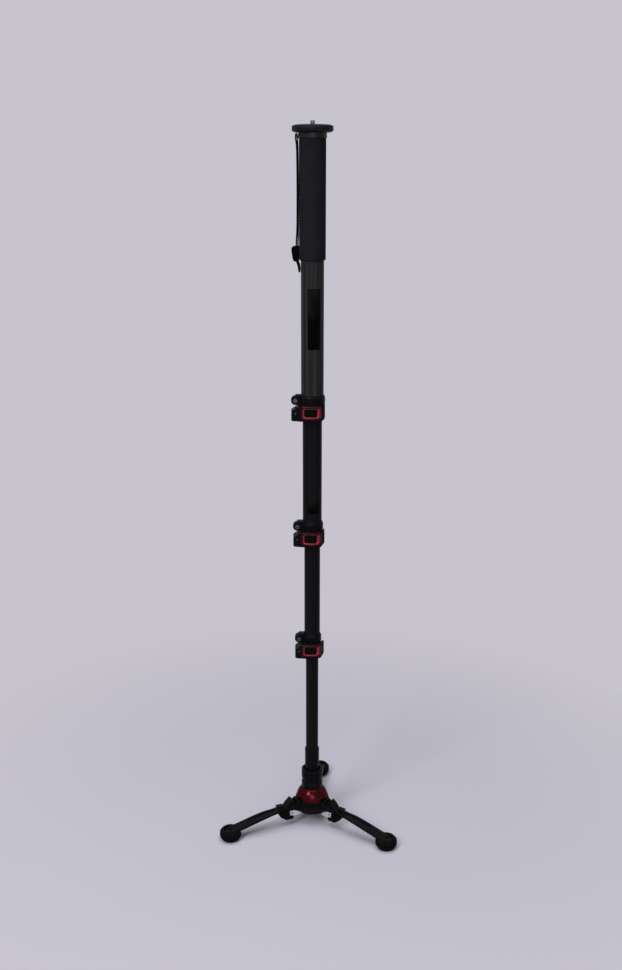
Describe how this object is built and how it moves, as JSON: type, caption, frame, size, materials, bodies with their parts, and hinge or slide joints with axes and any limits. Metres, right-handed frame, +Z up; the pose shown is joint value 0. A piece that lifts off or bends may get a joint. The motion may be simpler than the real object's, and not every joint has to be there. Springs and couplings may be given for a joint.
{
  "type": "camera monopod",
  "caption": "Telescopic camera monopod with flip-lever locks, swivelling ball base on fold-out feet, foam grip, wrist strap and a round platform with a camera screw.",
  "frame": {"origin": "on the floor under the middle of the bounding box, standing on its feet", "axes": "+Z up along the pole, lock levers face -Y, wrist strap on the -X side"},
  "size_m": [0.2688, 0.2482, 1.0485],
  "materials": {
    "carbon_tube": "satin woven",
    "black_metal": "satin anodised",
    "red_metal": "glossy anodised",
    "silver_metal": "satin",
    "steel": "black oxide",
    "rubber": "matte",
    "foam": "matte foam",
    "webbing": "woven",
    "black_plastic": "satin",
    "bearing_plastic": "smooth"
  },
  "bodies": {
    "base": {"hub": "black_metal", "hub_cap": "black_plastic", "socket_ring": "black_metal", "hinge_pins": "steel"},
    "seat": {"ball_seat": "bearing_plastic"},
    "ball": {"swivel_ball": "red_metal", "ball_neck": "black_metal"},
    "pan_ring": {"pan_lock_ring": "black_metal"},
    "pole_4": {"tube_4": "carbon_tube", "tube_4_bush": "bearing_plastic", "foot_sleeve": "black_metal", "foot_spindle": "steel"},
    "pole_3": {"tube_3": "carbon_tube", "tube_3_bush": "bearing_plastic", "lock_3_collar": "black_metal", "lock_3_liner": "bearing_plastic", "lock_3_bolts": "steel"},
    "pole_2": {"tube_2": "carbon_tube", "tube_2_bush": "bearing_plastic", "lock_2_collar": "black_metal", "lock_2_liner": "bearing_plastic", "lock_2_bolts": "steel"},
    "pole_1": {"tube_1": "carbon_tube", "lock_1_collar": "black_metal", "lock_1_liner": "bearing_plastic", "lock_1_bolts": "steel", "neck": "black_metal", "platform": "black_metal", "camera_stud": "steel", "grip": "foam", "wrist_strap": "webbing", "strap_slider": "black_plastic"},
    "lever_1": {"lever_1": "black_plastic", "lever_1_rim": "red_metal", "lever_1_pad": "rubber"},
    "lever_2": {"lever_2": "black_plastic", "lever_2_rim": "red_metal", "lever_2_pad": "rubber"},
    "lever_3": {"lever_3": "black_plastic", "lever_3_rim": "red_metal", "lever_3_pad": "rubber"},
    "leg_a": {"leg_a_arm": "black_metal", "leg_a_foot": "rubber", "leg_a_screws": "steel", "leg_a_tab": "black_metal"},
    "latch_a": {"leg_a_latch": "silver_metal", "leg_a_grip": "rubber"},
    "leg_b": {"leg_b_arm": "black_metal", "leg_b_foot": "rubber", "leg_b_screws": "steel", "leg_b_tab": "black_metal"},
    "latch_b": {"leg_b_latch": "silver_metal", "leg_b_grip": "rubber"},
    "leg_c": {"leg_c_arm": "black_metal", "leg_c_foot": "rubber", "leg_c_screws": "steel", "leg_c_tab": "black_metal"},
    "latch_c": {"leg_c_latch": "silver_metal", "leg_c_grip": "rubber"}
  },
  "joints": [
    {"name": "tilt_direction", "type": "hinge", "parent": "base", "child": "seat", "pos_m": [0.00633, -0.02862, 0.038], "axis": [0, 0, 1], "continuous": true},
    {"name": "ball_tilt", "type": "hinge", "parent": "seat", "child": "ball", "pos_m": [0.00633, -0.02862, 0.038], "axis": [1, 0, 0], "range_deg": [-20, 0]},
    {"name": "pole_pan", "type": "hinge", "parent": "ball", "child": "pole_4", "pos_m": [0.00633, -0.02862, 0.0778], "axis": [0, 0, 1], "continuous": true},
    {"name": "pan_lock", "type": "hinge", "parent": "ball", "child": "pan_ring", "pos_m": [0.00633, -0.02862, 0.073], "axis": [0, 0, 1], "range_deg": [0, 45]},
    {"name": "tube_3_slide", "type": "slide", "parent": "pole_4", "child": "pole_3", "axis": [0, 0, 1], "range_m": [-0.1545, 0.1298]},
    {"name": "tube_2_slide", "type": "slide", "parent": "pole_3", "child": "pole_2", "axis": [0, 0, 1], "range_m": [-0.1385, 0.1705]},
    {"name": "tube_1_slide", "type": "slide", "parent": "pole_2", "child": "pole_1", "axis": [0, 0, 1], "range_m": [-0.149, 0.16]},
    {"name": "lever_1_flip", "type": "hinge", "parent": "pole_1", "child": "lever_1", "pos_m": [-0.01777, -0.03862, 0.6435], "axis": [0, 0, -1], "range_deg": [0, 110]},
    {"name": "lever_2_flip", "type": "hinge", "parent": "pole_2", "child": "lever_2", "pos_m": [-0.01557, -0.03862, 0.4565], "axis": [0, 0, -1], "range_deg": [0, 110]},
    {"name": "lever_3_flip", "type": "hinge", "parent": "pole_3", "child": "lever_3", "pos_m": [-0.01337, -0.03862, 0.28], "axis": [0, 0, -1], "range_deg": [0, 110]},
    {"name": "leg_a_fold", "type": "hinge", "parent": "base", "child": "leg_a", "pos_m": [0.00969, 0.00762, 0.033], "axis": [0.9957, -0.0924, 0], "range_deg": [0, 104]},
    {"name": "latch_a_press", "type": "hinge", "parent": "leg_a", "child": "latch_a", "pos_m": [0.00965, 0.00722, 0.0206], "axis": [0.9957, -0.0924, 0], "range_deg": [0, 7], "stiffness_Nm_per_rad": 0.2, "springref_deg": -11.46},
    {"name": "leg_b_fold", "type": "hinge", "parent": "base", "child": "leg_b", "pos_m": [-0.02674, -0.04383, 0.033], "axis": [-0.4179, 0.9085, 0], "range_deg": [0, 104]},
    {"name": "latch_b_press", "type": "hinge", "parent": "leg_b", "child": "latch_b", "pos_m": [-0.02638, -0.04367, 0.0206], "axis": [-0.4179, 0.9085, 0], "range_deg": [0, 7], "stiffness_Nm_per_rad": 0.2, "springref_deg": -11.46},
    {"name": "leg_c_fold", "type": "hinge", "parent": "base", "child": "leg_c", "pos_m": [0.03603, -0.04966, 0.033], "axis": [-0.5779, -0.8161, 0], "range_deg": [0, 104]},
    {"name": "latch_c_press", "type": "hinge", "parent": "leg_c", "child": "latch_c", "pos_m": [0.03571, -0.04943, 0.0206], "axis": [-0.5779, -0.8161, 0], "range_deg": [0, 7], "stiffness_Nm_per_rad": 0.2, "springref_deg": -11.46}
  ]
}
